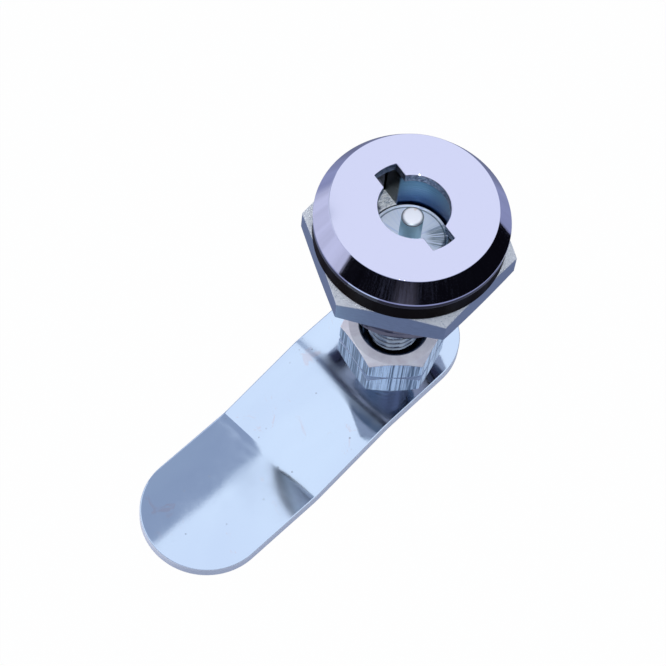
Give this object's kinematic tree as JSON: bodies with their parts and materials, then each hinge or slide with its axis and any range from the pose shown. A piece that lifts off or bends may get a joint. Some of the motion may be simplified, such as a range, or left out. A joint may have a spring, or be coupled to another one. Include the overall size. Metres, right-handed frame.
{
  "type": "cam lock",
  "caption": "Quarter-turn cam lock: bevelled round head with a winged keyhole, threaded barrel with hex nut, sprung rotor and a cranked cam clamped on a threaded rod.",
  "frame": {"origin": "on the lock's axis, in the plane where the panel is clamped: the gasket's rear face", "axes": "+Z out of the lock's face along its axis, -Y along the cam's arm at rest, +X to the right of the arm"},
  "size_m": [0.028, 0.065, 0.052],
  "materials": {
    "chrome": "bright chrome plate",
    "rubber": "matte black rubber",
    "satin_plate": "satin nickel plate",
    "blue_zinc": "blue passivated zinc",
    "bright_zinc": "bright zinc plate, turned",
    "cam_zinc": "bright zinc plate, pressed sheet",
    "pin_steel": "ground steel",
    "spring_steel": "dark oiled spring steel"
  },
  "bodies": {
    "lock_body": {"housing": "chrome", "gasket": "rubber", "rear_cover": "bright_zinc", "circlip": "spring_steel"},
    "panel_nut": {"panel_nut": "satin_plate"},
    "rotor": {"rotor": "blue_zinc", "rotor_seal": "rubber", "spindle": "bright_zinc", "centre_pin": "pin_steel", "cross_pin": "pin_steel", "stop_pin": "pin_steel", "detent_spring_a": "spring_steel", "detent_spring_b": "spring_steel"},
    "detent_a": {"detent_ball_a": "pin_steel"},
    "detent_b": {"detent_ball_b": "pin_steel"},
    "cam_stack": {"upper_nut": "bright_zinc", "cam": "cam_zinc", "cam_washer": "bright_zinc", "lock_washer": "spring_steel", "lower_nut": "bright_zinc"}
  },
  "joints": [
    {"name": "key_turn", "type": "hinge", "parent": "lock_body", "child": "rotor", "pos_m": [0, 0, 0], "axis": [0, 0, -1], "range_deg": [0, 90]},
    {"name": "panel_nut_travel", "type": "slide", "parent": "lock_body", "child": "panel_nut", "axis": [0, 0, -1], "range_m": [0, 0.006]},
    {"name": "cam_height", "type": "slide", "parent": "rotor", "child": "cam_stack", "axis": [0, 0, 1], "range_m": [-0.003, 0.012]},
    {"name": "detent_a_travel", "type": "slide", "parent": "rotor", "child": "detent_a", "axis": [0, 0, 1], "range_m": [0, 0.0004], "stiffness_N_per_m": 300, "deforming": ["detent_spring_a"]},
    {"name": "detent_b_travel", "type": "slide", "parent": "rotor", "child": "detent_b", "axis": [0, 0, 1], "range_m": [0, 0.0004], "stiffness_N_per_m": 300, "deforming": ["detent_spring_b"]}
  ]
}
